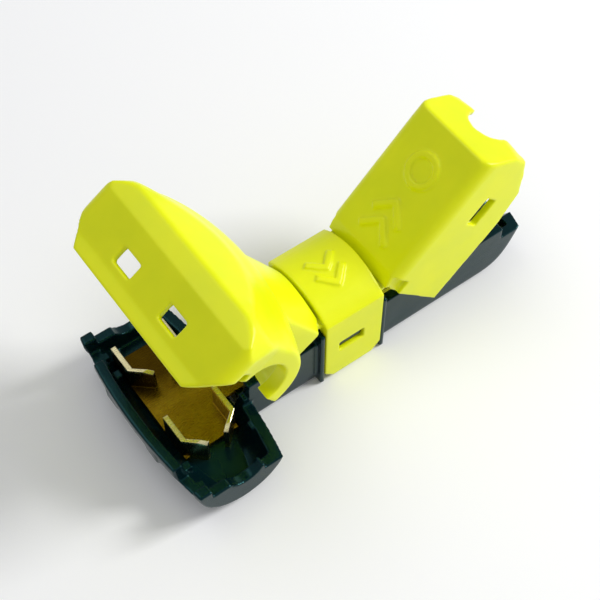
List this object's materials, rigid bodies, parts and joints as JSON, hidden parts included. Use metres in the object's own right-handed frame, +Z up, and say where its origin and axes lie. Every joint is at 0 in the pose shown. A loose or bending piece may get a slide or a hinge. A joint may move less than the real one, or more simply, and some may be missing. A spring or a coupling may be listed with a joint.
{
  "type": "wire tap connector",
  "caption": "T-shaped quick-splice wire connector: black base with a stamped contact, and a yellow cover whose hinged lids snap down over the wires.",
  "frame": {"origin": "underside of the base, below the middle of the centre saddle", "axes": "+X along the branch, away from the T-shaped head; +Y along the through wire; +Z up, out of the open base"},
  "size_m": [0.0362, 0.0176, 0.0206],
  "materials": {
    "black_plastic": "moulded, semi-gloss",
    "yellow_plastic": "moulded, semi-gloss",
    "contact_metal": "stamped, tin flashed"
  },
  "bodies": {
    "body": {"base_housing": "black_plastic", "contact_strip": "contact_metal", "centre_saddle": "yellow_plastic", "run_hinge_web": "yellow_plastic", "branch_hinge_web": "yellow_plastic"},
    "run_lid": {"run_lid": "yellow_plastic"},
    "branch_lid": {"branch_lid": "yellow_plastic"}
  },
  "joints": [
    {"name": "run_lid_hinge", "type": "hinge", "parent": "body", "child": "run_lid", "pos_m": [-0.00302, 0, 0.00755], "axis": [0, 1, 0], "range_deg": [-58, 12]},
    {"name": "branch_lid_hinge", "type": "hinge", "parent": "body", "child": "branch_lid", "pos_m": [0.00302, 0, 0.00755], "axis": [0, -1, 0], "range_deg": [-44, 20]}
  ]
}
